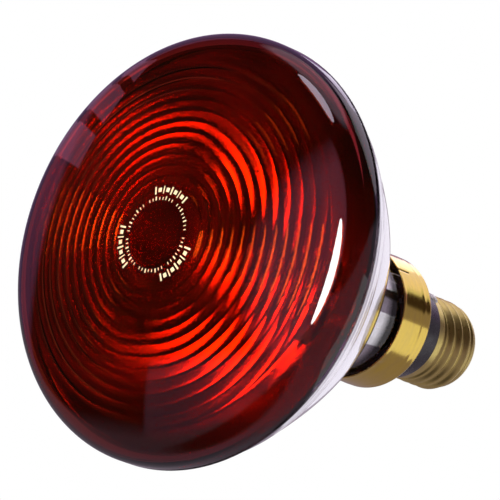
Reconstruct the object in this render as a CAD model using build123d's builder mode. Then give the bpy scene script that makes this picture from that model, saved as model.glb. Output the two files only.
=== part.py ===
# PAR38 infrared heat lamp on an E27 skirted screw cap, built as its separate pieces.
#
# The lamp lies along Y. The lens faces -Y and the screw cap points to +Y. The origin is the middle
# of the solder pad on the centre contact, which is the point that a lampholder sets. +Z is up.
from build123d import *
import math
import os

os.makedirs("parts", exist_ok=True)

# ------------------------------------------------------------------ driving dimensions, millimetres
overall_length = 136.0      # lens apex to the solder pad
rim_radius = 61.0           # outside of the glass at the seam, a 122 mm lamp
dome_height = 19.5          # lens apex in front of the seam
rim_wall = 3.0              # straight side wall of the lens in front of the seam
shoulder_radius = 8.0       # outside rounding between side wall and dome
lens_glass = 3.4

rib_first_radius = 13.5     # the rings on the lens's inside face
rib_pitch = 3.2
rib_count = 12
rib_height = 0.5

print_gap = 0.01            # ink print on the dome
print_thickness = 0.05
block_radii = (11.4, 14.0)
block_degrees = 8.0
block_gap_degrees = 3.0
blocks_in_group = 5
group_count = 3
tick_radii = (9.4, 10.7)
tick_degrees = 4.0
tick_count = 36

focal_length = 15.4         # of the parabolic mirror
bowl_rim_wall = 0.8         # straight side wall of the bowl behind the seam
bowl_floor_radius = 13.0    # flat floor where the parabola stops
floor_glass = 5.0
bowl_heel = 3.2             # glass behind the mirror's vertex
neck_radius = 18.2
neck_bore = 14.0
neck_end = 73.6             # behind the seam
neck_fillet = 8.0

film_gap = 0.05             # keeps the mirror film's faces off the glass's faces
film_thickness = 0.12

lead_offset = 8.0           # leads and support wire stand this far off the axis
lead_wire_radius = 0.8
support_wire_radius = 0.5
filament_coil_radius = 0.75
filament_gap = 0.1          # clear of the leads and of the support wire's hook
ferrule_radius = 3.4
ferrule_wall = 0.5
ferrule_length = 6.6
ferrule_embedded = 1.3
ferrule_pinhole = 2.25      # radius of the hole through the floor inside a ferrule's sealed edge
seal_gap = 0.05
exhaust_radius = 2.6
exhaust_bore = 1.6
exhaust_length = 11.0
exhaust_tip_radius = 2.1    # rounding of the sealed end

collar_radius = 19.5        # the 39 mm skirt
collar_sheet = 0.4
collar_front = 67.0         # behind the seam
collar_width = 13.1
collar_roll = 1.2           # outside rounding into the rear flange
collar_flange_bore = 16.4
slit_length = 5.0
slit_width = 0.6
slit_turn = 40.0            # degrees of the first slit, from +X towards +Z

insulator_gap = 0.15
insulator_front = 75.1
insulator_shoulder = 16.2
shoulder_step = 0.6         # straight part of the shoulder behind the collar
insulator_waist = 13.3
insulator_bore = 9.0
spigot_radius = 11.6
spigot_length = 3.5

shell_front = 92.2
shell_lip_radius = 12.95
shell_lip_length = 2.6
shell_lip_ramp = 1.0        # length of the step down from the lip to the thread
shell_sheet = 0.4
shell_end = 111.9
shell_end_radius = 10.9
shell_taper_length = 2.6
thread_major_radius = 13.1
thread_minor_radius = 12.2
thread_pitch = 3.629        # seven turns to the inch
thread_turns = 3.4
thread_profile_radius = 1.05

same_size = 0.01            # tolerance when picking edges by their radius

button_front = 109.7        # the black glass that closes the shell
button_edge_radius = 10.3
button_tip_radius = 5.3
button_bore = 2.2
button_step = 0.3           # the glass stands this far out of the shell
contact_radius = 4.9
contact_plate = 0.9
contact_rounding = 0.54
contact_stem_radius = 2.0
contact_stem_length = 3.0
pad_radius = 2.6
pad_height = 0.4
pad_rounding = 0.32

lead_out_radius = 0.35
wire_hole_radius = 0.45
lead_out_bend = 86.0        # behind the seam, where the two wires cross over
centre_wire_slant = 6.0     # half the length of its slanted run
side_wire_slant = 8.0
side_wire_knee = 5.0        # its last bend, off the axis
centre_wire_bend_radius = 3.0
side_wire_bend_radius = 1.6
sleeve_radius = 0.95
sleeve_front = 95.0
sleeve_end_gap = 0.5
side_hole_setback = 0.8     # the side wire leaves the insulator just in front of the shell
side_hole_turn = 52.0       # degrees from +X towards +Z
side_solder_radius = 2.2
side_solder_height = 1.1    # above the shell's lip
solder_reach = 4.0          # more than the solder's length each way
solder_gap = 0.02

# ------------------------------------------------------------------------------ stations along Y
apex_y = -overall_length
seam_y = apex_y + dome_height


def behind(distance):
    """The Y of a plane this far behind the seam."""
    return seam_y + distance


def on_arc(centre, radius, degrees):
    """A point of an arc in the XY profile plane; 0 degrees is away from the axis, -90 is forward."""
    angle = math.radians(degrees)
    return (centre[0] + radius * math.cos(angle), centre[1] + radius * math.sin(angle))


def parabola(vertex_y, four_f, r_from, r_to):
    """Three control points that give exactly the parabola y = vertex - r*r / four_f."""
    return (
        (r_from, vertex_y - r_from * r_from / four_f),
        ((r_from + r_to) / 2, vertex_y - r_from * r_to / four_f),
        (r_to, vertex_y - r_to * r_to / four_f),
    )


def round_wire(points, bends, radius):
    """A round wire along straight runs joined by arcs."""
    with BuildPart() as wire:
        with BuildLine():
            if len(points) > 2:
                route = FilletPolyline(*points, radius=bends)
            else:
                route = Line(*points)
        with BuildSketch(Plane(origin=route @ 0, z_dir=route % 0)):
            Circle(radius)
        sweep()
    return wire


def save(piece, name):
    piece.part.label = name
    export_step(piece.part, "parts/" + name + ".step")


# ------------------------------------------------------------------------------------ the red lens
shoulder_centre = (rim_radius - shoulder_radius, seam_y - rim_wall)
rise = dome_height - rim_wall
dome_radius = (shoulder_centre[0] ** 2 + rise**2 - shoulder_radius**2) / (2 * (rise - shoulder_radius))
dome_centre = (0.0, apex_y + dome_radius)
dome_tangent = math.degrees(math.atan2(shoulder_centre[1] - dome_centre[1], shoulder_centre[0]))
inner_dome_radius = dome_radius - lens_glass
inner_shoulder_radius = shoulder_radius - lens_glass
glass_inner_rim = rim_radius - lens_glass


def on_inner_dome(radius, raised=0.0):
    height = math.sqrt(inner_dome_radius**2 - radius**2)
    return (radius, dome_centre[1] - height + raised)


with BuildPart() as lens:
    with BuildSketch(Plane.XY):
        with BuildLine():
            Line((rim_radius, seam_y), (rim_radius, seam_y - rim_wall))
            ThreePointArc(
                (rim_radius, seam_y - rim_wall),
                on_arc(shoulder_centre, shoulder_radius, dome_tangent / 2),
                on_arc(shoulder_centre, shoulder_radius, dome_tangent),
            )
            ThreePointArc(
                on_arc(shoulder_centre, shoulder_radius, dome_tangent),
                on_arc(dome_centre, dome_radius, (dome_tangent - 90) / 2),
                (0, apex_y),
            )
            Line((0, apex_y), (0, apex_y + lens_glass))
            ThreePointArc(
                (0, apex_y + lens_glass),
                on_inner_dome(rib_first_radius / 2),
                on_inner_dome(rib_first_radius),
            )
            for rib in range(rib_count):
                near = rib_first_radius + rib * rib_pitch
                far = near + rib_pitch
                ThreePointArc(
                    on_inner_dome(near), on_inner_dome((near + far) / 2, rib_height), on_inner_dome(far)
                )
            rib_last_radius = rib_first_radius + rib_count * rib_pitch
            rib_last_degrees = -math.degrees(math.acos(rib_last_radius / inner_dome_radius))
            ThreePointArc(
                on_inner_dome(rib_last_radius),
                on_arc(dome_centre, inner_dome_radius, (rib_last_degrees + dome_tangent) / 2),
                on_arc(shoulder_centre, inner_shoulder_radius, dome_tangent),
            )
            ThreePointArc(
                on_arc(shoulder_centre, inner_shoulder_radius, dome_tangent),
                on_arc(shoulder_centre, inner_shoulder_radius, dome_tangent / 2),
                (glass_inner_rim, seam_y - rim_wall),
            )
            Line((glass_inner_rim, seam_y - rim_wall), (glass_inner_rim, seam_y))
            Line((glass_inner_rim, seam_y), (rim_radius, seam_y))
        make_face()
    revolve(axis=Axis.Y)
save(lens, "lens")

# --------------------------------- the ink print on the lens: plain blocks and ticks, no lettering
def on_dome(radius, lift):
    return (radius, dome_centre[1] - math.sqrt((dome_radius + lift) ** 2 - radius**2))


def print_pad(radii, start_degrees, wide_degrees):
    """One thin pad that lies on the dome between two radii."""
    start = math.radians(start_degrees)
    radial = (math.cos(start), 0, math.sin(start))
    with BuildPart() as pad:
        with BuildSketch(Plane(origin=(0, 0, 0), x_dir=radial, z_dir=(-radial[2], 0, radial[0]))):
            with BuildLine():
                Polyline(
                    on_dome(radii[0], print_gap),
                    on_dome(radii[1], print_gap),
                    on_dome(radii[1], print_gap + print_thickness),
                    on_dome(radii[0], print_gap + print_thickness),
                    close=True,
                )
            make_face()
        revolve(axis=Axis.Y, revolution_arc=wide_degrees)
    return pad.part


pads = []
for group in range(group_count):
    for block in range(blocks_in_group):
        turn = group * 360 / group_count + block * (block_degrees + block_gap_degrees)
        pads.append(print_pad(block_radii, turn, block_degrees))
for tick in range(tick_count):
    pads.append(print_pad(tick_radii, tick * 360 / tick_count, tick_degrees))
with BuildPart() as lens_print:
    add(pads)
save(lens_print, "lens_print")

# ------------------------------------------------------- the clear bowl with its floor and its neck
four_f = 4 * focal_length
vertex_y = seam_y + glass_inner_rim**2 / four_f
floor_y = vertex_y - bowl_floor_radius**2 / four_f
floor_back_y = floor_y + floor_glass
outer_vertex_y = vertex_y + bowl_heel
outer_four_f = rim_radius**2 / (outer_vertex_y - seam_y - bowl_rim_wall)
inner_curve = parabola(vertex_y, four_f, glass_inner_rim, bowl_floor_radius)
outer_curve = parabola(outer_vertex_y, outer_four_f, neck_radius, rim_radius)
lead_spots = {"left": (-lead_offset, 0), "right": (lead_offset, 0), "centre": (0, lead_offset)}
floor_back = Plane(origin=(0, floor_back_y, 0), x_dir=(1, 0, 0), z_dir=(0, 1, 0))


def on_floor_back(spot):
    """Sketch coordinates on the back of the floor for a spot given as X and Z."""
    return (spot[0], -spot[1])


with BuildPart() as reflector_bowl:
    with BuildSketch(Plane.XY):
        with BuildLine():
            Line((glass_inner_rim, seam_y), (rim_radius, seam_y))
            Line((rim_radius, seam_y), outer_curve[2])
            Bezier(*reversed(outer_curve))
            Line(outer_curve[0], (neck_radius, behind(neck_end)))
            Line((neck_radius, behind(neck_end)), (neck_bore, behind(neck_end)))
            Line((neck_bore, behind(neck_end)), (neck_bore, floor_back_y))
            Line((neck_bore, floor_back_y), (0, floor_back_y))
            Line((0, floor_back_y), (0, floor_y))
            Line((0, floor_y), (bowl_floor_radius, floor_y))
            Bezier(*reversed(inner_curve))
        make_face()
    revolve(axis=Axis.Y)
    waist = [
        edge
        for edge in reflector_bowl.edges().filter_by(GeomType.CIRCLE)
        if abs(edge.radius - neck_radius) < same_size and edge.center().Y < floor_back_y
    ]
    fillet(waist, neck_fillet)
    with BuildSketch(floor_back):
        Circle(exhaust_bore)
        with Locations(*[on_floor_back(spot) for spot in lead_spots.values()]):
            Circle(ferrule_pinhole)
    extrude(amount=-floor_glass, mode=Mode.SUBTRACT)
    with BuildSketch(floor_back):
        with Locations(*[on_floor_back(spot) for spot in lead_spots.values()]):
            Circle(ferrule_radius + seal_gap)
            Circle(ferrule_radius - ferrule_wall - seal_gap, mode=Mode.SUBTRACT)
    extrude(amount=-(ferrule_embedded + seal_gap), mode=Mode.SUBTRACT)
save(reflector_bowl, "reflector_bowl")

# ----------------------------------------------------------- the aluminium film inside the bowl
film_vertex_y = vertex_y - film_gap
film_rim = glass_inner_rim - film_gap
film_outer = parabola(film_vertex_y, four_f, film_rim, bowl_floor_radius)
film_inner = parabola(
    film_vertex_y - film_thickness,
    four_f,
    film_rim - film_thickness,
    bowl_floor_radius,
)
with BuildPart() as mirror_coating:
    with BuildSketch(Plane.XY):
        with BuildLine():
            Bezier(*film_outer)
            Line(film_outer[2], film_inner[2])
            Bezier(*reversed(film_inner))
            Line(film_inner[0], film_outer[0])
        make_face()
    revolve(axis=Axis.Y)
save(mirror_coating, "mirror_coating")

# ------------------------------------------------- filament, its two leads and its support wire
focus_y = vertex_y - focal_length
ferrule_end_y = floor_back_y - ferrule_embedded + ferrule_length
lead_foot_y = ferrule_end_y - ferrule_wall
coil_plane = Plane(origin=(0, focus_y, 0), x_dir=(1, 0, 0), z_dir=(0, -1, 0))
hook_radius = filament_coil_radius + support_wire_radius + filament_gap
coil_clear_degrees = math.degrees((lead_wire_radius + filament_gap) / lead_offset)

with BuildPart() as filament:
    with BuildLine(coil_plane):
        coil_route = CenterArc((0, 0), lead_offset, coil_clear_degrees, 180 - 2 * coil_clear_degrees)
    with BuildSketch(Plane(origin=coil_route @ 0, z_dir=coil_route % 0)):
        Circle(filament_coil_radius)
    sweep()
save(filament, "filament")

for side in ("left", "right"):
    spot = lead_spots[side]
    lead = round_wire(
        [(spot[0], lead_foot_y, spot[1]), (spot[0], focus_y - filament_coil_radius, spot[1])],
        0,
        lead_wire_radius,
    )
    save(lead, "lead_wire_" + side)

support_spot = lead_spots["centre"]
with BuildPart() as support_wire:
    with BuildSketch(Plane(origin=(0, lead_foot_y, support_spot[1]), x_dir=(1, 0, 0), z_dir=(0, -1, 0))):
        Circle(support_wire_radius)
    extrude(amount=lead_foot_y - focus_y - hook_radius)
    with Locations(Plane(origin=(0, focus_y, support_spot[1]), z_dir=(1, 0, 0))):
        Torus(hook_radius, support_wire_radius)
save(support_wire, "filament_support_wire")

# --------------------------------------------------- ferrules sealed into the floor, exhaust tube
for side, spot in lead_spots.items():
    with BuildPart() as ferrule:
        with BuildSketch(floor_back.offset(-ferrule_embedded)):
            with Locations(on_floor_back(spot)):
                Circle(ferrule_radius)
        extrude(amount=ferrule_length)
        with BuildSketch(floor_back.offset(-ferrule_embedded)):
            with Locations(on_floor_back(spot)):
                Circle(ferrule_radius - ferrule_wall)
        extrude(amount=ferrule_length - ferrule_wall, mode=Mode.SUBTRACT)
        fillet(ferrule.faces().sort_by(Axis.Y)[-1].edges(), ferrule_wall)
    save(ferrule, "ferrule_" + side)

with BuildPart() as exhaust_tube:
    with BuildSketch(floor_back):
        Circle(exhaust_radius)
    extrude(amount=exhaust_length)
    fillet(exhaust_tube.faces().sort_by(Axis.Y)[-1].edges(), exhaust_tip_radius)
    with BuildSketch(floor_back):
        Circle(exhaust_bore)
    extrude(amount=exhaust_length - exhaust_radius, mode=Mode.SUBTRACT)
save(exhaust_tube, "exhaust_tube")

# ----------------------------------------------------------------- the 39 mm brass skirt collar
collar_front_y = behind(collar_front)
collar_rear_y = collar_front_y + collar_width
collar_inner_radius = collar_radius - collar_sheet
with BuildPart() as skirt_collar:
    with BuildSketch(Plane.XY):
        with BuildLine():
            Polyline(
                (collar_radius, collar_front_y),
                (collar_radius, collar_rear_y),
                (collar_flange_bore, collar_rear_y),
                (collar_flange_bore, collar_rear_y - collar_sheet),
                (collar_inner_radius, collar_rear_y - collar_sheet),
                (collar_inner_radius, collar_front_y),
                close=True,
            )
        make_face()
    revolve(axis=Axis.Y)
    roll = [
        edge
        for edge in skirt_collar.edges().filter_by(GeomType.CIRCLE)
        if abs(edge.radius - collar_radius) < same_size and edge.center().Y > collar_rear_y - same_size
    ]
    fillet(roll, collar_roll - collar_sheet)
    for turn in (slit_turn, slit_turn + 180):
        across = Vector(math.cos(math.radians(turn)), 0, math.sin(math.radians(turn)))
        with BuildSketch(Plane(origin=(0, collar_front_y, 0), x_dir=across, z_dir=(0, 1, 0))):
            with Locations((collar_radius, 0)):
                Rectangle(4 * collar_sheet, slit_width)
        extrude(amount=slit_length, mode=Mode.SUBTRACT)
save(skirt_collar, "skirt_collar")

# ---------------------------------------- the black insulator between the skirt and the screw shell
insulator_front_y = behind(insulator_front)
insulator_flange_y = collar_rear_y - collar_sheet - insulator_gap
shell_front_y = behind(shell_front)
flange_radius = collar_inner_radius - insulator_gap
spigot_end_y = shell_front_y + spigot_length
side_hole_y = shell_front_y - side_hole_setback
waist_start_y = collar_rear_y + shoulder_step
side_out = Vector(math.cos(math.radians(side_hole_turn)), 0, math.sin(math.radians(side_hole_turn)))
side_hole = Plane(origin=(0, side_hole_y, 0), x_dir=(0, 1, 0), z_dir=side_out)
with BuildPart() as insulator_ring:
    with BuildSketch(Plane.XY):
        with BuildLine():
            Polyline(
                (insulator_bore, insulator_front_y),
                (flange_radius, insulator_front_y),
                (flange_radius, insulator_flange_y),
                (insulator_shoulder, insulator_flange_y),
                (insulator_shoulder, waist_start_y),
                (insulator_waist, shell_front_y),
                (spigot_radius, shell_front_y),
                (spigot_radius, spigot_end_y),
                (insulator_bore, spigot_end_y),
                close=True,
            )
        make_face()
    revolve(axis=Axis.Y)
    with BuildSketch(side_hole):
        Circle(wire_hole_radius)
    extrude(amount=insulator_shoulder, mode=Mode.SUBTRACT)
save(insulator_ring, "insulator_ring")

# --------------------------------------- cement that holds the glass neck to the insulator ring
with BuildPart() as basing_cement:
    with BuildSketch(Plane(origin=(0, behind(neck_end), 0), x_dir=(1, 0, 0), z_dir=(0, 1, 0))):
        Circle(flange_radius)
        Circle(neck_bore, mode=Mode.SUBTRACT)
    extrude(amount=insulator_front - neck_end)
save(basing_cement, "basing_cement")

# ------------------------------------------------------------------- the threaded brass shell
shell_end_y = behind(shell_end)
ramp_start_y = shell_front_y + shell_lip_length - shell_lip_ramp / 2
ramp_end_y = ramp_start_y + shell_lip_ramp
taper_start_y = shell_end_y - shell_taper_length
button_front_y = behind(button_front)
with BuildPart() as screw_shell:
    with BuildSketch(Plane.XY):
        with BuildLine():
            Polyline(
                (shell_lip_radius - shell_sheet, shell_front_y),
                (shell_lip_radius, shell_front_y),
                (shell_lip_radius, ramp_start_y),
                (thread_minor_radius, ramp_end_y),
                (thread_minor_radius, taper_start_y),
                (shell_end_radius, shell_end_y),
                (shell_end_radius - shell_sheet, shell_end_y),
                (thread_minor_radius - shell_sheet, taper_start_y),
                (thread_minor_radius - shell_sheet, ramp_end_y),
                (shell_lip_radius - shell_sheet, ramp_start_y),
                close=True,
            )
        make_face()
    revolve(axis=Axis.Y)
    thread_height = thread_pitch * thread_turns
    ridge_centre = thread_major_radius - thread_profile_radius
    ridge_foot = thread_minor_radius - shell_sheet / 2
    ridge_half = math.sqrt(thread_profile_radius**2 - (ridge_foot - ridge_centre) ** 2)
    thread_start_y = ramp_end_y + ridge_half
    with BuildLine():
        helix = Helix(
            pitch=thread_pitch,
            height=thread_height,
            radius=ridge_foot,
            center=(0, thread_start_y, 0),
            direction=(0, 1, 0),
        )
    start = helix @ 0
    outward = Vector(start.X, 0, start.Z).normalized()
    with BuildSketch(Plane(origin=start, x_dir=outward, z_dir=helix % 0)):
        with BuildLine():
            Line((0, -ridge_half), (0, ridge_half))
            ThreePointArc((0, ridge_half), (thread_major_radius - ridge_foot, 0), (0, -ridge_half))
        make_face()
    sweep(path=helix, is_frenet=True)
save(screw_shell, "screw_shell")

# --------------------------------------------- black glass button, centre contact and solder pad
contact_end_y = -pad_height
contact_front_y = contact_end_y - contact_plate
with BuildPart() as base_button:
    with BuildSketch(Plane.XY):
        with BuildLine():
            Polyline(
                (button_bore, button_front_y),
                (button_edge_radius, button_front_y),
                (button_edge_radius, shell_end_y + button_step),
                (button_tip_radius, contact_front_y),
                (button_bore, contact_front_y),
                close=True,
            )
        make_face()
    revolve(axis=Axis.Y)
save(base_button, "base_button")

with BuildPart() as centre_contact:
    with BuildSketch(Plane(origin=(0, contact_front_y, 0), x_dir=(1, 0, 0), z_dir=(0, 1, 0))):
        Circle(contact_radius)
    extrude(amount=contact_plate)
    fillet(centre_contact.faces().sort_by(Axis.Y)[-1].edges(), contact_rounding)
    with BuildSketch(Plane(origin=(0, contact_front_y, 0), x_dir=(1, 0, 0), z_dir=(0, 1, 0))):
        Circle(contact_stem_radius)
    extrude(amount=-contact_stem_length)
    with BuildSketch(Plane(origin=(0, contact_end_y, 0), x_dir=(1, 0, 0), z_dir=(0, 1, 0))):
        Circle(wire_hole_radius)
    extrude(amount=-(contact_plate + contact_stem_length), mode=Mode.SUBTRACT)
save(centre_contact, "centre_contact")

with BuildPart() as contact_solder:
    with BuildSketch(Plane(origin=(0, contact_end_y, 0), x_dir=(1, 0, 0), z_dir=(0, 1, 0))):
        Circle(pad_radius)
    extrude(amount=pad_height)
    fillet(contact_solder.faces().sort_by(Axis.Y)[-1].edges(), pad_rounding)
save(contact_solder, "contact_solder")

# ---------------------------------------------------------------- lead-out wires and their sleeve
bend_y = behind(lead_out_bend)
left_spot = lead_spots["left"]
right_spot = lead_spots["right"]
centre_lead_out = round_wire(
    [
        (left_spot[0], ferrule_end_y, 0),
        (left_spot[0], bend_y - centre_wire_slant, 0),
        (0, bend_y + centre_wire_slant, 0),
        (0, contact_end_y, 0),
    ],
    centre_wire_bend_radius,
    lead_out_radius,
)
save(centre_lead_out, "lead_out_wire_centre")

solder_centre_out = shell_lip_radius + side_solder_height - side_solder_radius
solder_centre_y = shell_front_y - lead_out_radius
side_wire_tip = shell_lip_radius + side_solder_height / 2
side_lead_out = round_wire(
    [
        (right_spot[0], ferrule_end_y, 0),
        (right_spot[0], bend_y - side_wire_slant, 0),
        side_hole.origin + side_out * side_wire_knee,
        side_hole.origin + side_out * side_wire_tip,
    ],
    side_wire_bend_radius,
    lead_out_radius,
)
save(side_lead_out, "lead_out_wire_side")

with BuildPart() as wire_sleeve:
    with BuildSketch(Plane(origin=(0, behind(sleeve_front), 0), x_dir=(1, 0, 0), z_dir=(0, 1, 0))):
        Circle(sleeve_radius)
        Circle(wire_hole_radius, mode=Mode.SUBTRACT)
    extrude(amount=button_front - sleeve_front - sleeve_end_gap)
save(wire_sleeve, "wire_sleeve")

waist_slope = (insulator_shoulder - insulator_waist) / (shell_front_y - waist_start_y)
with BuildPart() as side_solder:
    with Locations(Vector(0, solder_centre_y, 0) + side_out * solder_centre_out):
        Sphere(side_solder_radius)
    with BuildSketch(Plane.XY):
        with BuildLine():
            Polyline(
                (0, shell_front_y - solder_reach),
                (insulator_waist + solder_reach * waist_slope + seal_gap, shell_front_y - solder_reach),
                (insulator_waist + seal_gap, shell_front_y),
                (shell_lip_radius + seal_gap, shell_front_y),
                (shell_lip_radius + seal_gap, shell_front_y + solder_reach),
                (0, shell_front_y + solder_reach),
                close=True,
            )
        make_face()
    revolve(axis=Axis.Y, mode=Mode.SUBTRACT)
    with BuildSketch(side_hole):
        Circle(lead_out_radius + solder_gap)
    extrude(amount=side_wire_tip + solder_gap, mode=Mode.SUBTRACT)
save(side_solder, "side_solder")
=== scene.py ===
import math

import bmesh
import bpy
from mathutils import Matrix, Vector


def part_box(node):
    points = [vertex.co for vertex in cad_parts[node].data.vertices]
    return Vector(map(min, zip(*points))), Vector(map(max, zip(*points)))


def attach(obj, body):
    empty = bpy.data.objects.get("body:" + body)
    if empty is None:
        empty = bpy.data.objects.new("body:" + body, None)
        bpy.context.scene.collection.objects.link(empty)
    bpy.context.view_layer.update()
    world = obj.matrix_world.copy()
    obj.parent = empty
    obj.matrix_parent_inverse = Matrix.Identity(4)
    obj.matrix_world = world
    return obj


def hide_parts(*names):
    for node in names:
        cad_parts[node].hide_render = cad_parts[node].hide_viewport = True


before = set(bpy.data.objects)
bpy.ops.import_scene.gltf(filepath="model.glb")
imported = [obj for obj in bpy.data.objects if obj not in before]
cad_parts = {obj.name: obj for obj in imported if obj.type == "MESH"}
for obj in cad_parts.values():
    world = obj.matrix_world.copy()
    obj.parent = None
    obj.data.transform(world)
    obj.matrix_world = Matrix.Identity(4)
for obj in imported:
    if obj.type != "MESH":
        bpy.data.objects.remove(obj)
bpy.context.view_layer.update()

# ---------------------------------------------------------------------------------- sizes, metres
# The lamp lies along Y: the lens faces -Y and the screw cap ends at the origin.
MM = 0.001
lens_low, lens_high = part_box("lens")
bowl_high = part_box("reflector_bowl")[1]
collar_low, collar_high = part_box("skirt_collar")
ring_low, ring_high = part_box("insulator_ring")
shell_low, shell_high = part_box("screw_shell")
button_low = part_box("base_button")[0]
contact_low, contact_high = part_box("centre_contact")
solder_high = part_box("contact_solder")[1]
filament_low, filament_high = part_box("filament")

apex_y = lens_low.y
seam_y = lens_high.y
rim_radius = 61.0 * MM
rim_wall = 3.0 * MM
shoulder_radius = 8.0 * MM
lens_glass = 3.4 * MM
rib_first_radius = 13.5 * MM
rib_pitch = 3.2 * MM
rib_count = 12
rib_height = 0.4 * MM

focal_length = 15.4 * MM
bowl_rim_wall = 0.8 * MM
bowl_floor_radius = 13.0 * MM
floor_glass = 5.0 * MM
bowl_heel = 3.2 * MM
neck_radius = 18.2 * MM
neck_bore = 14.0 * MM
neck_fillet = 8.0 * MM
neck_end_y = bowl_high.y
film_gap = 0.05 * MM
film_thickness = 0.12 * MM

collar_radius = 19.5 * MM
collar_sheet = 0.4 * MM
collar_front_y = collar_low.y
collar_rear_y = collar_high.y
shell_front_y = shell_low.y
shell_end_y = shell_high.y
lead_offset = 8.0 * MM

# the film seen through the bowl's heel, which stops short of the collar
silver_front_y = collar_front_y - 14.0 * MM
silver_rear_y = collar_front_y - 3.6 * MM
silver_fade_in = 4.0 * MM
silver_fade_out = 2.9 * MM
silver_share = 0.62

ROUND = 256  # points round a large turned piece


# ------------------------------------------------------------------------------ profiles as points
def arc(centre, radius, start, end, steps):
    """Points of an arc, angles in degrees from +r towards +y."""
    points = []
    for step in range(steps + 1):
        angle = math.radians(start + (end - start) * step / steps)
        points.append((centre[0] + radius * math.cos(angle), centre[1] + radius * math.sin(angle)))
    return points


def parabola(vertex_y, four_f, r_from, r_to, steps):
    points = []
    for step in range(steps + 1):
        r = r_from + (r_to - r_from) * step / steps
        points.append((r, vertex_y - r * r / four_f))
    return points


def rounded(corners, radius, steps=5):
    """A closed outline with each corner rounded, as far as its shorter side allows."""
    points = []
    for index, corner in enumerate(corners):
        here = Vector(corner)
        before = Vector(corners[index - 1]) - here
        after = Vector(corners[(index + 1) % len(corners)]) - here
        reach = min(radius, before.length * 0.45, after.length * 0.45)
        start = here + before.normalized() * reach
        end = here + after.normalized() * reach
        for step in range(steps + 1):
            t = step / steps
            spot = start * (1 - t) ** 2 + here * (2 * t * (1 - t)) + end * t * t
            points.append((spot.x, spot.y))
    return points


# ------------------------------------------------------------------------------------ mesh helpers
def finish_mesh(name, vertices, faces, material, sharp_degrees=40):
    mesh = bpy.data.meshes.new(name)
    mesh.from_pydata(vertices, [], faces)
    mesh.validate()
    mesh.polygons.foreach_set("use_smooth", [True] * len(mesh.polygons))
    mesh.set_sharp_from_angle(angle=math.radians(sharp_degrees))
    mesh.materials.append(material)
    piece = bpy.data.objects.new(name, mesh)
    bpy.context.scene.collection.objects.link(piece)
    return piece


def turned(name, outline, material, segments=ROUND, sharp_degrees=40):
    """A closed outline of (radius, y) points turned about the Y axis. Points on the axis are shared."""
    vertices = []
    rows = []
    for radius, y in outline:
        if radius < 1e-7:
            vertices.append((0, y, 0))
            rows.append([len(vertices) - 1] * segments)
            continue
        first = len(vertices)
        for step in range(segments):
            angle = 2 * math.pi * step / segments
            vertices.append((radius * math.cos(angle), y, radius * math.sin(angle)))
        rows.append(list(range(first, first + segments)))
    faces = []
    for row, following in zip(rows, rows[1:] + rows[:1]):
        for step in range(segments):
            ahead = (step + 1) % segments
            corners = [row[step], row[ahead], following[ahead], following[step]]
            distinct = list(dict.fromkeys(corners))
            if len(distinct) > 2:
                faces.append(distinct)
    piece = finish_mesh(name, vertices, faces, material, sharp_degrees)
    outward(piece)
    return piece


def outward(piece):
    """Turns every face of a closed mesh to face outwards."""
    bm = bmesh.new()
    bm.from_mesh(piece.data)
    bmesh.ops.recalc_face_normals(bm, faces=bm.faces)
    bm.to_mesh(piece.data)
    bm.free()


def tube(name, points, radius, material, sides):
    """A round wire along points, with flat ends."""
    vertices = []
    faces = []
    count = len(points)
    side = None
    for index, point in enumerate(points):
        here = Vector(point)
        ahead = Vector(points[min(index + 1, count - 1)])
        behind = Vector(points[max(index - 1, 0)])
        along = (ahead - behind).normalized()
        if side is None:
            side = along.orthogonal().normalized()
        side = (side - along * side.dot(along)).normalized()
        up = along.cross(side)
        for step in range(sides):
            angle = 2 * math.pi * step / sides
            vertices.append(here + (side * math.cos(angle) + up * math.sin(angle)) * radius)
    for index in range(count - 1):
        for step in range(sides):
            ahead = (step + 1) % sides
            near = index * sides
            far = near + sides
            faces.append([near + step, near + ahead, far + ahead, far + step])
    faces.append(list(reversed(range(sides))))
    faces.append(list(range((count - 1) * sides, count * sides)))
    return finish_mesh(name, vertices, faces, material, 60)


def place(piece, node):
    """Rides a new piece on the lamp and lets it stand for its CAD node."""
    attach(piece, "root")
    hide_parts(node)
    return piece


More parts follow.
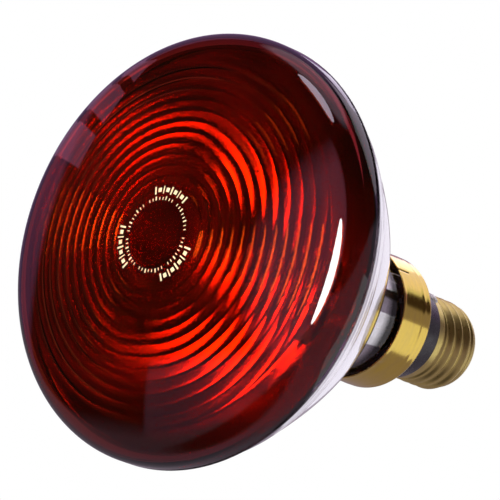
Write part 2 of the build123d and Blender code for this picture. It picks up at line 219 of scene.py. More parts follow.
# --------------------------------------------------------------------------------------- materials
class Nodes:
    """Short calls for building one material's node tree."""

    def __init__(self, name):
        self.material = bpy.data.materials.new(name)
        self.material.use_nodes = True
        self.tree = self.material.node_tree
        self.shader = self.tree.nodes.get("Principled BSDF")
        self.place = self.add("ShaderNodeTexCoord").outputs["Object"]

    def add(self, kind, **settings):
        node = self.tree.nodes.new(kind)
        for key, value in settings.items():
            setattr(node, key, value)
        return node

    def link(self, source, target):
        self.tree.links.new(source, target)

    def value(self, name, amount):
        self.shader.inputs[name].default_value = amount

    def drive(self, name, source):
        """Links source to the shader's input of that name."""
        self.link(source, self.shader.inputs[name])

    def axis(self, letter):
        """One coordinate of the place, in metres."""
        parts = self.add("ShaderNodeSeparateXYZ")
        self.link(self.place, parts.inputs["Vector"])
        return parts.outputs[letter]

    def from_axis(self):
        """Distance from the lamp's axis."""
        flat = self.add("ShaderNodeVectorMath", operation="MULTIPLY")
        flat.inputs[1].default_value = (1, 0, 1)
        self.link(self.place, flat.inputs[0])
        length = self.add("ShaderNodeVectorMath", operation="LENGTH")
        self.link(flat.outputs["Vector"], length.inputs[0])
        return length.outputs["Value"]

    def math(self, operation, first, second):
        node = self.add("ShaderNodeMath", operation=operation)
        self.link(first, node.inputs[0])
        self.link(second, node.inputs[1])
        return node.outputs["Value"]

    def noise(self, scale, detail=3.0, roughness=0.55, stretch=(1, 1, 1)):
        """Noise on the object's own coordinates; scale is per metre."""
        mapping = self.add("ShaderNodeMapping")
        mapping.inputs["Scale"].default_value = stretch
        self.link(self.place, mapping.inputs["Vector"])
        noise = self.add("ShaderNodeTexNoise")
        noise.inputs["Scale"].default_value = scale
        noise.inputs["Detail"].default_value = detail
        noise.inputs["Roughness"].default_value = roughness
        self.link(mapping.outputs["Vector"], noise.inputs["Vector"])
        return noise.outputs["Fac"]

    def ramp(self, source, stops):
        """stops is a list of (position, colour or grey)."""
        ramp = self.add("ShaderNodeValToRGB")
        elements = ramp.color_ramp.elements
        while len(elements) < len(stops):
            elements.new(0.5)
        for element, (position, colour) in zip(elements, stops):
            element.position = position
            grey = isinstance(colour, (int, float))
            element.color = (colour, colour, colour, 1) if grey else (*colour, 1)
        self.link(source, ramp.inputs["Fac"])
        return ramp.outputs["Color"]

    def range(self, source, low, high, to_low, to_high):
        change = self.add("ShaderNodeMapRange")
        for name, amount in zip(("From Min", "From Max", "To Min", "To Max"), (low, high, to_low, to_high)):
            change.inputs[name].default_value = amount
        self.link(source, change.inputs["Value"])
        return change.outputs["Result"]

    def mix(self, factor, first, second):
        mix = self.add("ShaderNodeMix", data_type="RGBA")
        self.link(factor, mix.inputs["Factor"])
        for socket, colour in ((mix.inputs["A"], first), (mix.inputs["B"], second)):
            if isinstance(colour, tuple):
                socket.default_value = (*colour, 1)
            else:
                self.link(colour, socket)
        return mix.outputs["Result"]

    def bump(self, height, distance, strength=1.0):
        bump = self.add("ShaderNodeBump")
        bump.inputs["Strength"].default_value = strength
        bump.inputs["Distance"].default_value = distance
        self.link(height, bump.inputs["Height"])
        self.drive("Normal", bump.outputs["Normal"])


def ruby_glass():
    """Deep red pressed glass: polished, with faint waves and a few dust specks. Painted shade darkens
    it in the middle and at the shoulder."""
    m = Nodes("ruby_glass")
    m.value("IOR", 1.52)
    m.value("Transmission Weight", 1.0)
    red = m.ramp(m.noise(22, 2), [(0.3, (0.48, 0.046, 0.002)), (0.7, (0.57, 0.062, 0.003))])
    radius = m.from_axis()
    # painted shade: the red is darkened in the middle of the lens and again towards the shoulder
    middle = m.range(radius, 8.5 * MM, 11.5 * MM, 1.0, 0.0)
    shoulder = m.range(radius, 53 * MM, 60 * MM, 0.0, 1.0)
    red = m.mix(middle, red, (0.20, 0.016, 0.001))
    m.drive("Base Color", m.mix(shoulder, red, (0.19, 0.014, 0.018)))
    m.drive("Roughness", m.ramp(m.noise(900, 1), [(0.78, 0.012), (0.82, 0.25)]))
    m.bump(m.noise(40, 1), 0.02 * MM, 0.25)
    return m.material


def clear_glass(name, silvered=False):
    """Clear pressed glass. silvered adds the film that shows through the heel of the bowl."""
    m = Nodes(name)
    m.value("IOR", 1.5)
    m.value("Transmission Weight", 1.0)
    m.drive("Base Color", m.ramp(m.noise(30, 2), [(0.3, (0.93, 0.94, 0.98)), (0.7, (0.99, 0.98, 0.96))]))
    m.drive("Roughness", m.range(m.noise(70, 2), 0.3, 0.7, 0.01, 0.06))
    if silvered:
        along = m.axis("Y")
        begins = m.range(along, silver_front_y, silver_front_y + silver_fade_in, 0.0, 1.0)
        ends = m.range(along, silver_rear_y - silver_fade_out, silver_rear_y, silver_share, 0.0)
        m.drive("Metallic", m.math("MULTIPLY", begins, ends))
    m.bump(m.noise(80, 2, stretch=(1, 0.3, 1)), 0.08 * MM, 0.5)
    return m.material


def mirror_film():
    """Aluminium film: bright, and slightly hazy from the pressed glass under it."""
    m = Nodes("mirror_film")
    m.value("Metallic", 1.0)
    m.drive("Base Color", m.ramp(m.noise(40, 3), [(0.3, (0.83, 0.82, 0.86)), (0.7, (0.93, 0.92, 0.93))]))
    m.drive("Roughness", m.range(m.noise(90, 3), 0.3, 0.7, 0.12, 0.16))
    m.bump(m.noise(30, 1), 0.1 * MM, 0.2)
    return m.material


def brass(name, bright, dull, rough_low, rough_high, patina_share, painted_shade_height=None):
    """Sheet brass in two tones: drawing marks round the axis, fine speckle and patches of dull patina, with
    painted shade dulling the side that faces up when a height range is given.
    """
    m = Nodes(name)
    m.value("Metallic", 1.0)
    patches = m.noise(260, 6, 0.7)
    if painted_shade_height:
        # painted shade: the dull patina tone is spread over the side that faces up, so the top reads darker
        upper = m.range(m.axis("Z"), *painted_shade_height, -0.16, 0.2)
        patches = m.math("ADD", patches, upper)
    cover = m.ramp(patches, [(1 - patina_share - 0.1, 0.0), (1 - patina_share + 0.1, 1.0)])
    fine = m.noise(1400, 4, 0.6)
    drawn = m.noise(120, 3, 0.6, stretch=(1, 9, 1))
    tone = m.mix(fine, bright, tuple(c * 0.92 for c in bright))
    tone = m.mix(m.range(drawn, 0.35, 0.75, 0.0, 0.45), tone, dull)
    m.drive("Base Color", m.mix(cover, tone, dull))
    rough = m.add("ShaderNodeMix", data_type="FLOAT")
    m.link(cover, rough.inputs["Factor"])
    m.link(m.range(fine, 0.3, 0.7, rough_low, rough_low * 1.6), rough.inputs["A"])
    rough.inputs["B"].default_value = rough_high
    m.drive("Roughness", rough.outputs["Result"])
    m.bump(drawn, 0.012 * MM, 0.25)
    return m.material


def plain(name, low, high, rough_low, rough_high, scale, metallic=0.0, bump_mm=0.02, coat=0.0):
    """A material with its colour and its gloss varied by noise."""
    m = Nodes(name)
    m.value("Metallic", metallic)
    m.value("Coat Weight", coat)
    field = m.noise(scale, 4)
    m.drive("Base Color", m.ramp(field, [(0.3, low), (0.7, high)]))
    m.drive("Roughness", m.range(m.noise(scale * 2.3, 3), 0.3, 0.7, rough_low, rough_high))
    m.bump(m.noise(scale * 4, 3), bump_mm * MM, 0.6)
    return m.material


RUBY = ruby_glass()
CLEAR = clear_glass("clear_glass")
BOWL = clear_glass("bowl_glass", silvered=True)
FILM = mirror_film()
# heights over which painted shade dulls the upper side of the collar
COLLAR_PAINTED_SHADE_HEIGHTS = (8 * MM, 19 * MM)
COLLAR_BRASS = brass("collar_brass", (0.90, 0.68, 0.13), (0.68, 0.51, 0.18), 0.10, 0.27, 0.26, COLLAR_PAINTED_SHADE_HEIGHTS)
SHELL_BRASS = brass("shell_brass", (0.86, 0.72, 0.23), (0.68, 0.57, 0.22), 0.26, 0.40, 0.40)
CONTACT_BRASS = brass("contact_brass", (0.66, 0.52, 0.24), (0.42, 0.34, 0.2), 0.2, 0.4, 0.4)
BLACK = plain("black_insulator", (0.008, 0.008, 0.010), (0.018, 0.018, 0.021), 0.22, 0.36, 160)
BLACK_GLASS = plain("black_glass", (0.006, 0.005, 0.008), (0.014, 0.013, 0.018), 0.05, 0.14, 150, coat=0.5)
SOLDER = plain("solder", (0.62, 0.60, 0.56), (0.82, 0.80, 0.76), 0.3, 0.5, 700, metallic=0.6, bump_mm=0.05)
TUNGSTEN = plain("tungsten", (0.2, 0.19, 0.19), (0.34, 0.33, 0.33), 0.35, 0.5, 900, metallic=1.0)
NICKEL = plain("nickel_wire", (0.46, 0.44, 0.41), (0.62, 0.6, 0.56), 0.2, 0.34, 700, metallic=1.0)
FERRULE = plain("ferrule_metal", (0.42, 0.40, 0.38), (0.58, 0.55, 0.52), 0.22, 0.4, 500, metallic=1.0)
# painted shade: the basing cement is coloured near black so the neck seen through the bowl's clear floor
# reads dark
CEMENT = plain("basing_cement", (0.05, 0.042, 0.034), (0.10, 0.085, 0.07), 0.7, 0.9, 600, bump_mm=0.15)
COPPER = plain("copper_wire", (0.48, 0.26, 0.14), (0.68, 0.42, 0.28), 0.25, 0.45, 800, metallic=1.0)
SLEEVE = plain("woven_sleeve", (0.55, 0.52, 0.44), (0.78, 0.75, 0.66), 0.7, 0.9, 1500, bump_mm=0.1)
INK = plain("cream_ink", (0.40, 0.33, 0.16), (0.58, 0.50, 0.30), 0.45, 0.6, 900, bump_mm=0.01)


# ------------------------------------------------------------------------------------ the red lens
rise = (seam_y - apex_y) - rim_wall
shoulder_centre = (rim_radius - shoulder_radius, seam_y - rim_wall)
dome_radius = (shoulder_centre[0] ** 2 + rise**2 - shoulder_radius**2) / (2 * (rise - shoulder_radius))
dome_centre = (0.0, apex_y + dome_radius)
dome_tangent = math.degrees(math.atan2(shoulder_centre[1] - dome_centre[1], shoulder_centre[0]))
inner_dome_radius = dome_radius - lens_glass
inner_shoulder_radius = shoulder_radius - lens_glass
glass_inner_rim = rim_radius - lens_glass


def dome_y(radius, lift=0.0):
    """Y of the outside of the dome at a radius."""
    return dome_centre[1] - math.sqrt((dome_radius + lift) ** 2 - radius**2)


def inner_dome_y(radius):
    return dome_centre[1] - math.sqrt(inner_dome_radius**2 - radius**2)


def lens_piece():
    seam_round = 0.5 * MM
    outline = [(glass_inner_rim, seam_y)]
    outline += arc((rim_radius - seam_round, seam_y - seam_round), seam_round, 90, 0, 4)
    outline += arc(shoulder_centre, shoulder_radius, 0, dome_tangent, 20)
    outline += arc(dome_centre, dome_radius, dome_tangent, -90, 44)[1:-1]
    outline.append((0.0, apex_y))
    outline.append((0.0, apex_y + lens_glass))
    centre_steps = 6
    for step in range(1, centre_steps + 1):
        radius = rib_first_radius * step / centre_steps
        outline.append((radius, inner_dome_y(radius)))
    rib_steps = 8
    for rib in range(rib_count):
        for step in range(1, rib_steps + 1):
            t = step / rib_steps
            radius = rib_first_radius + (rib + t) * rib_pitch
            outline.append((radius, inner_dome_y(radius) + rib_height * 4 * t * (1 - t)))
    rib_last_radius = rib_first_radius + rib_count * rib_pitch
    rib_last_turn = -math.degrees(math.acos(rib_last_radius / inner_dome_radius))
    outline += arc(dome_centre, inner_dome_radius, rib_last_turn, dome_tangent, 3)[1:]
    outline += arc(shoulder_centre, inner_shoulder_radius, dome_tangent, 0, 12)[1:]
    piece = turned("lens_glass", outline, RUBY)
    return place(piece, "lens")


lens_piece()


# ------------------------------------------------------------------------- bowl glass and its film
four_f = 4 * focal_length
vertex_y = seam_y + glass_inner_rim**2 / four_f
floor_y = vertex_y - bowl_floor_radius**2 / four_f
floor_back_y = floor_y + floor_glass
outer_vertex_y = vertex_y + bowl_heel
outer_four_f = rim_radius**2 / (outer_vertex_y - seam_y - bowl_rim_wall)

# radius, half width and height of each shallow ring that stands on the outside of the bowl
MOULD_RINGS = ((57.5 * MM, 0.9 * MM, 0.35 * MM), (31.0 * MM, 0.8 * MM, 0.45 * MM))


def bowl_piece():
    seam_round = 0.6 * MM
    foot_r = neck_radius + neck_fillet
    foot_y = outer_vertex_y - foot_r**2 / outer_four_f
    outline = arc((rim_radius - seam_round, seam_y + seam_round), seam_round, -90, 0, 4)
    for radius, y in parabola(outer_vertex_y, outer_four_f, rim_radius, foot_r, 150):
        for ring_radius, ring_half, ring_height in MOULD_RINGS:
            away = (radius - ring_radius) / ring_half
            y += ring_height * math.exp(-away * away)
        outline.append((radius, y))
    # a concave fillet leads from the bowl into the neck
    end_round = 0.5 * MM
    neck_start = (neck_radius, foot_y + neck_fillet * 1.25)
    corner = (neck_radius, foot_y + (foot_r - neck_radius) * 2 * foot_r / outer_four_f)
    fillet_steps = 8
    for step in range(1, fillet_steps + 1):
        t = step / fillet_steps
        r = foot_r * (1 - t) ** 2 + corner[0] * 2 * t * (1 - t) + neck_start[0] * t * t
        y = foot_y * (1 - t) ** 2 + corner[1] * 2 * t * (1 - t) + neck_start[1] * t * t
        outline.append((r, y))
    outline.append((neck_radius, neck_end_y - end_round))
    outline.append((neck_radius - end_round, neck_end_y))
    outline.append((neck_bore, neck_end_y))
    outline.append((neck_bore, floor_back_y))
    outline.append((0.0, floor_back_y))
    outline.append((0.0, floor_y))
    outline += parabola(vertex_y, four_f, bowl_floor_radius, glass_inner_rim, 70)
    piece = turned("bowl_glass", outline, BOWL)
    return place(piece, "reflector_bowl")


bowl_piece()


def film_piece():
    inner_rim = glass_inner_rim - film_gap
    outline = parabola(vertex_y - film_gap, four_f, inner_rim, bowl_floor_radius, 70)
    front_y = vertex_y - film_gap - film_thickness
    outline += parabola(front_y, four_f, bowl_floor_radius, inner_rim - film_thickness, 70)
    piece = turned("mirror_film", outline, FILM)
    return place(piece, "mirror_coating")


film_piece()


# ------------------------------------------------------------------------------- the print on the dome
def print_piece():
    """Three groups of plain bars and a graduated ring inside them, lying on the dome."""
    ink = 0.03 * MM
    group_turns = (76, 196, 316)
    group_radii = (11.5 * MM, 13.7 * MM)
    bar_widths = (2.4, 5.2, 1.6, 5.2, 2.4, 5.2, 1.6, 5.2, 2.4)
    bar_gap = 3.0
    bar_inset = 0.5 * MM
    mark_count = 54
    mark_inner = 9.7 * MM
    mark_outer = 10.5 * MM
    long_mark_outer = 10.8 * MM
    vertices = []
    faces = []

    def bar(inner, outer, start, wide):
        across = 3
        down = 4
        first = len(vertices)
        for row in range(down + 1):
            radius = inner + (outer - inner) * row / down
            for column in range(across + 1):
                angle = math.radians(start + wide * column / across)
                vertices.append((radius * math.cos(angle), dome_y(radius, ink), radius * math.sin(angle)))
        for row in range(down):
            for column in range(across):
                corner = first + row * (across + 1) + column
                faces.append([corner, corner + 1, corner + across + 2, corner + across + 1])

    span = sum(bar_widths) + bar_gap * (len(bar_widths) - 1)
    for group_turn in group_turns:
        start = group_turn - span / 2
        for number, wide in enumerate(bar_widths):
            inset = bar_inset if number % 2 else 0.0
            bar(group_radii[0] + inset, group_radii[1] - inset, start, wide)
            start += wide + bar_gap
    for mark in range(mark_count):
        long_mark = mark % 3 == 0
        if mark % 9 != 0:
            outer = long_mark_outer if long_mark else mark_outer
            bar(mark_inner, outer, mark * 360 / mark_count, 2.4 if long_mark else 1.5)
    piece = finish_mesh("lens_print_bars", vertices, faces, INK)
    outward(piece)
    solid = piece.modifiers.new("ink", "SOLIDIFY")
    solid.thickness = ink
    solid.offset = 1
    return place(piece, "lens_print")


print_piece()


# ----------------------------------------------------------------------------- thin brass, in one grid
def wrapped(name, stations, angles, radius_at, material, thickness, keep=None):
    """A thin sheet round the axis. stations are (y, radius); radius_at changes a radius at an angle."""
    vertices = []
    for y, radius in stations:
        for angle in angles:
            r = radius_at(y, radius, angle)
            vertices.append((r * math.cos(angle), y, r * math.sin(angle)))
    faces = []
    count = len(angles)
    for row in range(len(stations) - 1):
        for column in range(count):
            if keep is None or keep(row, column):
                ahead = (column + 1) % count
                near = row * count
                far = near + count
                faces.append([near + column, near + ahead, far + ahead, far + column])
    mesh = bpy.data.meshes.new(name)
    mesh.from_pydata(vertices, [], faces)
    loose = bmesh.new()
    loose.from_mesh(mesh)
    bmesh.ops.delete(loose, geom=[v for v in loose.verts if not v.link_faces], context="VERTS")
    bmesh.ops.recalc_face_normals(loose, faces=loose.faces)
    loose.to_mesh(mesh)
    loose.free()
    mesh.materials.append(material)
    mesh.polygons.foreach_set("use_smooth", [True] * len(mesh.polygons))
    piece = bpy.data.objects.new(name, mesh)
    bpy.context.scene.collection.objects.link(piece)
    middle = mesh.polygons[0]
    outside = Vector((middle.center.x, 0, middle.center.z)).dot(middle.normal) > 0
    solid = piece.modifiers.new("sheet", "SOLIDIFY")
    solid.thickness = thickness
    solid.offset = -1 if outside else 1
    solid.use_even_offset = True
    edge = piece.modifiers.new("edge", "BEVEL")
    edge.width = thickness * 0.3
    edge.segments = 2
    edge.angle_limit = math.radians(50)
    return piece


def collar_piece():
    slit_turn = math.radians(40)
    slit_half = math.radians(0.9)
    slit_length = 5.0 * MM
    slits = (slit_turn, slit_turn + math.pi)
    crimps = [math.radians(turn) for turn in (-52, 128, 218)]
    crimp_half = 1.7 * MM
    crimp_depth = 0.55 * MM
    crimp_y = collar_front_y + 2.2 * MM
    bead_half = 0.5 * MM
    ring_along = 9.5 * MM
    segments = 240
    angles = [2 * math.pi * step / segments for step in range(segments)]
    for middle in slits:
        angles = [a for a in angles if abs(a - middle) > slit_half * 1.4]
        angles += [middle - slit_half, middle + slit_half]
    angles.sort()
    roll = 1.1 * MM
    flare = 0.12 * MM
    flange_bore = 16.4 * MM
    rows = 26
    straight = collar_rear_y - roll - collar_front_y
    stations = [(collar_front_y + straight * row / rows, collar_radius - flare) for row in range(rows + 1)]
    rolled = arc((collar_radius - roll, collar_rear_y - roll), roll, 0, 90, 8)
    stations += [(y, r - flare) for r, y in rolled[1:]]
    stations += [(collar_rear_y, flange_bore + 1.2 * MM), (collar_rear_y, flange_bore)]
    slit_end_y = collar_front_y + slit_length + 0.1 * MM
    slit_rows = [row for row in range(rows) if stations[row + 1][0] <= slit_end_y]

    def radius_at(y, radius, angle):
        along = y - collar_front_y
        # a rolled bead at the free edge, a faint ring, and three crimps pressed into the neck
        radius += flare * math.exp(-((along / bead_half) ** 2))
        radius += 0.05 * MM * math.exp(-(((along - ring_along) / bead_half) ** 2))
        radius += 0.04 * MM * math.sin(3 * angle + 0.6) * math.exp(-along / (5 * MM))
        for crimp in crimps:
            turn = (angle - crimp + math.pi) % (2 * math.pi) - math.pi
            reach = math.hypot(turn * collar_radius / crimp_half, (y - crimp_y) / (1.2 * MM))
            radius -= crimp_depth * math.exp(-reach * reach)
        return radius

    def keep(row, column):
        if row not in slit_rows:
            return True
        centre = (angles[column] + angles[(column + 1) % len(angles)]) / 2
        return all(abs(centre - middle) > slit_half for middle in slits)

    piece = wrapped("collar_sheet", stations, angles, radius_at, COLLAR_BRASS, collar_sheet * 0.9, keep)
    return place(piece, "skirt_collar")


collar_piece()


def shell_piece():
    lip_radius = 12.95 * MM
    crest = 13.1 * MM
    root = 12.15 * MM
    pitch = 3.629 * MM
    segments = 160
    angles = [2 * math.pi * step / segments for step in range(segments)]
    lip_end = shell_front_y + 2.2 * MM
    thread_start = shell_front_y + 3.4 * MM
    thread_end = shell_end_y - 2.4 * MM
    rows = 110
    length = shell_end_y - shell_front_y
    stations = [(shell_front_y + length * row / rows, lip_radius) for row in range(rows + 1)]

    def radius_at(y, radius, angle):
        phase = (y - thread_start) / pitch + angle / (2 * math.pi)
        wave = 0.5 + 0.5 * math.cos(2 * math.pi * phase)
        thread = root + (crest - root) * wave**0.8
        fade_in = min(max((y - thread_start) / (1.6 * MM), 0), 1)
        fade_out = min(max((thread_end - y) / (1.4 * MM), 0), 1)
        ease = fade_in * fade_in * (3 - 2 * fade_in) * fade_out * (2 - fade_out)
        body = root + (thread - root) * ease
        lip = min(max((y - lip_end) / (1.2 * MM), 0), 1)
        body = lip_radius + (body - lip_radius) * lip * lip * (3 - 2 * lip)
        tail = min(max((y - thread_end) / (shell_end_y - thread_end), 0), 1)
        return body - 1.25 * MM * tail**1.8

    piece = wrapped("shell_sheet", stations, angles, radius_at, SHELL_BRASS, 0.35 * MM)
    return place(piece, "screw_shell")


shell_piece()


# ---------------------------------------------------------------------------- insulator, button, solder
def ring_piece():
    bore = 9.0 * MM
    flange = collar_radius - collar_sheet - 0.15 * MM
    shoulder = 16.2 * MM
    waist = 13.3 * MM
    spigot = 11.6 * MM
    flange_back = collar_rear_y - collar_sheet - 0.15 * MM
    cone_y = collar_rear_y + 4.6 * MM
    corners = [
        (bore, ring_low.y), (flange, ring_low.y), (flange, flange_back), (shoulder, flange_back),
        (shoulder, collar_rear_y + 1.0 * MM), (waist + 1.1 * MM, cone_y), (waist, shell_front_y),
        (spigot, shell_front_y), (spigot, ring_high.y), (bore, ring_high.y),
    ]
    piece = turned("insulator_body", rounded(corners, 0.7 * MM), BLACK, 160)
    return place(piece, "insulator_ring")


def button_piece():
    bore = 2.2 * MM
    edge = 10.3 * MM
    tip = 5.3 * MM
    corners = [
        (bore, button_low.y), (edge, button_low.y), (edge, shell_end_y + 0.25 * MM),
        (8.2 * MM, shell_end_y + 1.5 * MM), (tip, contact_low.y + 3.0 * MM), (bore, contact_low.y + 3.0 * MM),
    ]
    piece = turned("button_glass", rounded(corners, 1.0 * MM, 8), BLACK_GLASS, 128)
    return place(piece, "base_button")


def contact_piece():
    bore = 0.45 * MM
    stem = 2.0 * MM
    disc = 4.9 * MM
    face = contact_high.y - 0.9 * MM
    corners = [
        (bore, contact_low.y), (stem, contact_low.y), (stem, face), (disc, face),
        (disc, contact_high.y - 0.25 * MM), (3.9 * MM, contact_high.y), (bore, contact_high.y),
    ]
    piece = turned("contact_disc", rounded(corners, 0.3 * MM), CONTACT_BRASS, 96)
    return place(piece, "centre_contact")


def solder_blob(name, centre, along, size, node):
    """A low, slightly lumpy bead of solder. size is its radius sideways, along and in height."""
    bm = bmesh.new()
    bmesh.ops.create_icosphere(bm, subdivisions=5, radius=1.0)
    toward = Vector((0, 0, 1)).rotation_difference(along)
    for vertex in bm.verts:
        co = vertex.co
        lump = 1 + 0.05 * math.sin(4.1 * co.x + 1.3) * math.cos(3.3 * co.y)
        lump += 0.03 * math.sin(9 * co.y + 5 * co.z)
        low = max(co.z, -0.25)
        shaped = Vector((co.x * size[0] * lump, co.y * size[1] * lump, low * size[2] * lump))
        vertex.co = centre + toward @ shaped
    bmesh.ops.recalc_face_normals(bm, faces=bm.faces)
    mesh = bpy.data.meshes.new(name)
    bm.to_mesh(mesh)
    bm.free()
    mesh.polygons.foreach_set("use_smooth", [True] * len(mesh.polygons))
    mesh.materials.append(SOLDER)
    piece = bpy.data.objects.new(name, mesh)
    bpy.context.scene.collection.objects.link(piece)
    return place(piece, node)


def side_solder_piece():
    turn = math.radians(52)
    out = Vector((math.cos(turn), 0, math.sin(turn)))
    low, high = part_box("side_solder")
    centre = out * 12.95 * MM + Vector((0, (low.y + high.y) / 2 + 0.3 * MM, 0))
    return solder_blob("side_solder_bead", centre, out, (2.1 * MM, 1.7 * MM, 1.0 * MM), "side_solder")


ring_piece()
button_piece()
contact_piece()
solder_blob(
    "contact_solder_bead",
    Vector((0, contact_high.y, 0)),
    Vector((0, 1, 0)),
    (2.6 * MM, 2.6 * MM, solder_high.y - contact_high.y - 0.02 * MM),
    "contact_solder",
)
side_solder_piece()


# ------------------------------------------------------------------------------------------- filament
def filament_piece():
    """A close coil of tungsten wire, bent in a half ring round the axis at the mirror's focus."""
    ring_radius = lead_offset
    focus_y = (filament_low.y + filament_high.y) / 2
    coil_radius = 0.6 * MM
    turns = 34
    steps = 14
    clear = math.radians(6.5)
    wire_radius = 0.14 * MM
    points = []
    for step in range(turns * steps + 1):
        t = step / (turns * steps)
        around = clear + (math.pi - 2 * clear) * t
        wind = 2 * math.pi * turns * t
        r = ring_radius + coil_radius * math.cos(wind)
        y = focus_y + coil_radius * math.sin(wind)
        points.append((r * math.cos(around), y, r * math.sin(around)))
    piece = tube("filament_coil", points, wire_radius, TUNGSTEN, 8)
    return place(piece, "filament")


filament_piece()

# ------------------------------------------------------------------------------ carried-over nodes
CARRIED = {
    "lead_wire_left": NICKEL,
    "lead_wire_right": NICKEL,
    "filament_support_wire": NICKEL,
    "ferrule_left": FERRULE,
    "ferrule_right": FERRULE,
    "ferrule_centre": FERRULE,
    "exhaust_tube": CLEAR,
    "basing_cement": CEMENT,
    "lead_out_wire_centre": COPPER,
    "lead_out_wire_side": COPPER,
    "wire_sleeve": SLEEVE,
}
for node, material in CARRIED.items():
    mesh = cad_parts[node].data
    mesh.materials.clear()
    mesh.materials.append(material)

# ------------------------------------------------------------------------------------------ camera
AXIS_TO_VIEW = math.radians(42.26)   # between the lamp's axis and the view direction
AXIS_DROP = math.radians(21.79)      # how far the axis falls to the right in the picture
CAMERA_DISTANCE = 1.4
LENS_MM = 368.8
AIM_RIGHT = 13.5 * MM                # picture centre, to the right of the rim's centre
AIM_UP = 0.6 * MM


def make_camera():
    axis = Vector((
        math.sin(AXIS_TO_VIEW) * math.cos(AXIS_DROP),
        -math.sin(AXIS_TO_VIEW) * math.sin(AXIS_DROP),
        -math.cos(AXIS_TO_VIEW),
    ))
    up = (Vector((0, 1, 0)) - axis * axis.y).normalized()
    side = axis.cross(up)
    to_world = Matrix((side, axis, up))
    rotation = to_world.to_4x4()
    camera_right = rotation @ Vector((1, 0, 0))
    camera_up = rotation @ Vector((0, 1, 0))
    camera_back = rotation @ Vector((0, 0, 1))
    aim = Vector((0, seam_y, 0)) + camera_right * AIM_RIGHT + camera_up * AIM_UP
    data = bpy.data.cameras.new("camera")
    data.lens = LENS_MM
    data.sensor_width = 36.0
    data.clip_start = 0.01
    data.clip_end = 20.0
    camera = bpy.data.objects.new("camera", data)
    camera.matrix_world = Matrix.Translation(aim + camera_back * CAMERA_DISTANCE) @ rotation
    bpy.context.scene.collection.objects.link(camera)
    bpy.context.scene.camera = camera


make_camera()

# ---------------------------------------------------------------------------------- floor and light
FLOOR_Z = -0.40
LIGHT_DISTANCE = 2.0
BLIND_SLATS = 3

# what the lamp reflects: a colour, and the direction or plane that it starts from
ROOM = (0.035, 0.022, 0.018)
SWEEP_DIRECTION = (-0.64, 0.77, 0)
SWEEP = (0.30, 0.16, 0.34)
FRONT_DIRECTION = (0.14, -0.98, 0.12)
FRONT = (1.0, 0.32, 0.50)
CEILING = (0.85, 0.72, 0.90)
PAPER_NORMAL = (0.236, -0.186, -0.093)
PAPER = (0.34, 0.18, 0.26)
TABLE_NORMAL = (0, 1, -2.4)
TABLE = (0.26, 0.21, 0.26)
UNDER = (0.04, 0.03, 0.03)
DAYLIGHT = (0.60, 0.60, 0.62)


def make_floor():
    half = 6.0
    mesh = bpy.data.meshes.new("floor")
    corners = [(-half, -half, FLOOR_Z), (half, -half, FLOOR_Z), (half, half, FLOOR_Z), (-half, half, FLOOR_Z)]
    mesh.from_pydata(corners, [], [(0, 1, 2, 3)])
    m = Nodes("floor")
    m.link(m.ramp(m.noise(3, 2), [(0.3, 0.80), (0.7, 0.84)]), m.shader.inputs["Base Color"])
    m.value("Roughness", 0.9)
    mesh.materials.append(m.material)
    floor = bpy.data.objects.new("floor", mesh)
    floor.visible_glossy = False
    floor.visible_transmission = False
    bpy.context.scene.collection.objects.link(floor)


def softbox(name, azimuth, elevation, width, height, power, colour=(1, 1, 1), shape="RECTANGLE"):
    """An area light that looks at the lamp. Azimuth 0 is in front of the lens, 90 is on +X."""
    centre = Vector((0, seam_y, 0))
    a = math.radians(azimuth)
    e = math.radians(elevation)
    back = Vector((math.sin(a) * math.cos(e), -math.cos(a) * math.cos(e), math.sin(e)))
    data = bpy.data.lights.new(name, "AREA")
    data.shape = shape
    data.size = width
    data.size_y = height
    data.energy = power
    data.color = colour
    lamp = bpy.data.objects.new(name, data)
    lamp.location = centre + back * LIGHT_DISTANCE
    lamp.rotation_mode = "QUATERNION"
    lamp.rotation_quaternion = back.to_track_quat("Z", "Y")
    bpy.context.scene.collection.objects.link(lamp)


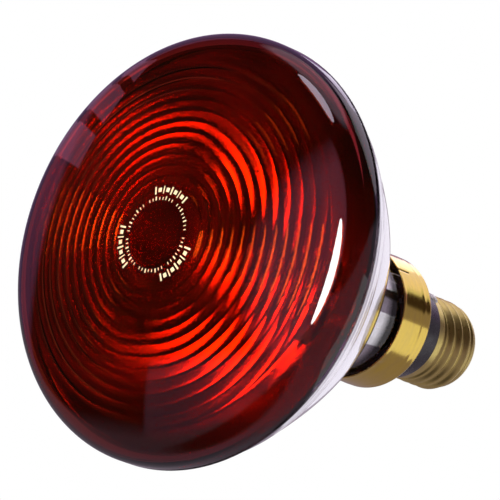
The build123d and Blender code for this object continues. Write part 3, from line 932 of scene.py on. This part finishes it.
def make_world():
    """White behind the lamp and even daylight on matt surfaces. Gloss and glass see a dark room with a
    rosy wall in front, a violet sweep behind, a pale ceiling, and a table with paper below."""
    world = bpy.data.worlds.new("studio")
    world.use_nodes = True
    tree = world.node_tree
    tree.nodes.clear()
    direction = tree.nodes.new("ShaderNodeTexCoord").outputs["Generated"]

    def background(colour):
        node = tree.nodes.new("ShaderNodeBackground")
        node.inputs["Color"].default_value = (*colour, 1)
        return node.outputs["Background"]

    def mix(factor, first, second):
        node = tree.nodes.new("ShaderNodeMixShader")
        tree.links.new(factor, node.inputs["Fac"])
        tree.links.new(first, node.inputs[1])
        tree.links.new(second, node.inputs[2])
        return node.outputs["Shader"]

    def beyond(normal, start, end):
        """0 to 1 where the direction leans towards normal, between two cosines."""
        dot = tree.nodes.new("ShaderNodeVectorMath")
        dot.operation = "DOT_PRODUCT"
        dot.inputs[1].default_value = Vector(normal).normalized()
        tree.links.new(direction, dot.inputs[0])
        edge = tree.nodes.new("ShaderNodeMapRange")
        edge.inputs["From Min"].default_value = start
        edge.inputs["From Max"].default_value = end
        tree.links.new(dot.outputs["Value"], edge.inputs["Value"])
        return edge.outputs["Result"]

    room = mix(beyond(SWEEP_DIRECTION, 0.38, 0.41), background(ROOM), background(SWEEP))
    room = mix(beyond(FRONT_DIRECTION, 0.87, 0.92), room, background(FRONT))
    room = mix(beyond((0, 0, 1), 0.89, 0.93), room, background(CEILING))
    paper = mix(beyond((0, 0, -1), 0.12, 0.16), room, background(PAPER))
    room = mix(beyond(PAPER_NORMAL, 0.0, 0.02), room, paper)
    under = mix(beyond((0, -0.6, -1), 0.80, 0.92), background(TABLE), background(UNDER))
    room = mix(beyond(TABLE_NORMAL, -0.02, 0.03), room, under)
    path = tree.nodes.new("ShaderNodeLightPath")
    lit = mix(path.outputs["Is Diffuse Ray"], room, background(DAYLIGHT))
    shown = mix(path.outputs["Is Camera Ray"], lit, background((1, 1, 1)))
    output = tree.nodes.new("ShaderNodeOutputWorld")
    tree.links.new(shown, output.inputs["Surface"])
    bpy.context.scene.world = world


make_floor()
make_world()
softbox("front_window", 14, 3.5, 0.94, 0.98, 68, shape="ELLIPSE")
softbox("upper_window", 4, 60, 0.9, 0.62, 8, (0.9, 0.82, 1.0), "ELLIPSE")
softbox("rear_window", -160, 7, 0.85, 1.07, 2.0, (0.93, 0.93, 1.0))
softbox("rear_top_window", 172, 42, 1.1, 1.0, 2.4)
softbox("rear_line_window", -158, 33, 0.6, 0.5, 1.5, (0.9, 0.85, 1.0))
softbox("side_window", 151, -14, 1.0, 1.2, 2.3)
for slat in range(BLIND_SLATS):
    softbox("blind_slat", -88, 22 + 6 * slat, 1.2, 0.15, 0.34, (1.0, 0.42, 0.75))

scene = bpy.context.scene
scene.view_settings.view_transform = "Standard"
scene.cycles.max_bounces = 24
scene.cycles.glossy_bounces = 12
scene.cycles.transmission_bounces = 20
scene.cycles.caustics_reflective = True
scene.cycles.caustics_refractive = True
scene.cycles.blur_glossy = 0.2
